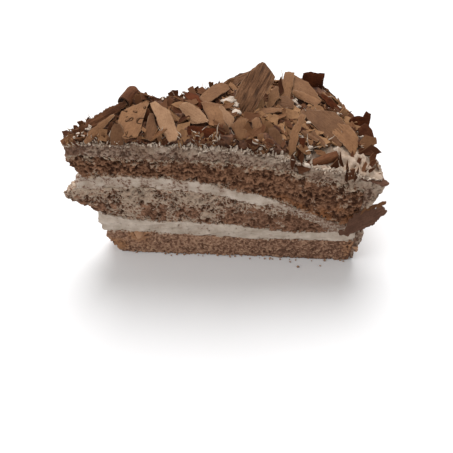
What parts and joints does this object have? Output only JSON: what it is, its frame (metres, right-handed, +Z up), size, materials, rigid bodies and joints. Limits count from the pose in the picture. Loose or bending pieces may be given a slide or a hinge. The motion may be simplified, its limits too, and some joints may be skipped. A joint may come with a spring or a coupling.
{
  "type": "slice of layered chocolate cake",
  "caption": "Wedge of layered cocoa sponge with cream fillings, cream over the top and rim, under a heap of chocolate shavings.",
  "frame": {"origin": "middle of the slice's box on the flat underside of the bottom sponge", "axes": "+X from the tip of the slice to its rim, +Y from the front cut to the back cut, +Z up"},
  "size_m": [0.1386, 0.0712, 0.0861],
  "materials": {
    "sponge_light": "fine dry cocoa crumb",
    "sponge_smeared": "cocoa crumb smeared with cream by the knife",
    "sponge_dark": "coarse open cocoa crumb",
    "cream": "soft whipped cream, satin",
    "chocolate_small": "heap of small chocolate shavings, matt",
    "chocolate_tan": "bloomed matt chocolate",
    "chocolate_brown": "ridged matt chocolate",
    "chocolate_dark": "smooth satin chocolate",
    "chocolate_red": "reddish satin chocolate"
  },
  "bodies": {
    "root": {"cream_lower": "cream", "cream_top": "cream", "cream_upper": "cream", "shaving_arch_right": "chocolate_tan", "shaving_behind_peak": "chocolate_brown", "shaving_broad_left": "chocolate_tan", "shaving_broad_second": "chocolate_tan", "shaving_brown_right": "chocolate_brown", "shaving_curl_in_cream": "chocolate_dark", "shaving_curled_red": "chocolate_red", "shaving_dark_band": "chocolate_dark", "shaving_dark_corner": "chocolate_dark", "shaving_dark_upright": "chocolate_dark", "shaving_elongated_back": "chocolate_tan", "shaving_flange_tip": "chocolate_tan", "shaving_fold_tip": "chocolate_brown", "shaving_front_long": "chocolate_brown", "shaving_front_tip": "chocolate_brown", "shaving_front_upright": "chocolate_tan", "shaving_level_middle": "chocolate_tan", "shaving_lobed_rim": "chocolate_dark", "shaving_low_rim": "chocolate_brown", "shaving_narrow_front": "chocolate_brown", "shaving_peak": "chocolate_brown", "shaving_plank_right": "chocolate_tan", "shaving_ribbed_back": "chocolate_dark", "shaving_rim_broad": "chocolate_tan", "shaving_rim_level": "chocolate_tan", "shaving_rim_outer": "chocolate_red", "shaving_rim_red": "chocolate_red", "shaving_roll_back": "chocolate_dark", "shaving_rounded_front": "chocolate_tan", "shaving_shaded_left": "chocolate_brown", "shaving_shaded_wide": "chocolate_dark", "shaving_sliver_lower": "chocolate_brown", "shaving_sliver_upper": "chocolate_tan", "shaving_small_pointed": "chocolate_tan", "shaving_spike_rim": "chocolate_red", "shaving_square_chip": "chocolate_tan", "shaving_strip_front": "chocolate_tan", "shaving_under_arch": "chocolate_brown", "shaving_wing_end": "chocolate_brown", "shaving_wing_left": "chocolate_tan", "shaving_wing_right": "chocolate_tan", "shavings_heap": "chocolate_small", "sponge_bottom": "sponge_light", "sponge_middle": "sponge_smeared", "sponge_top": "sponge_dark"}
  },
  "joints": []
}
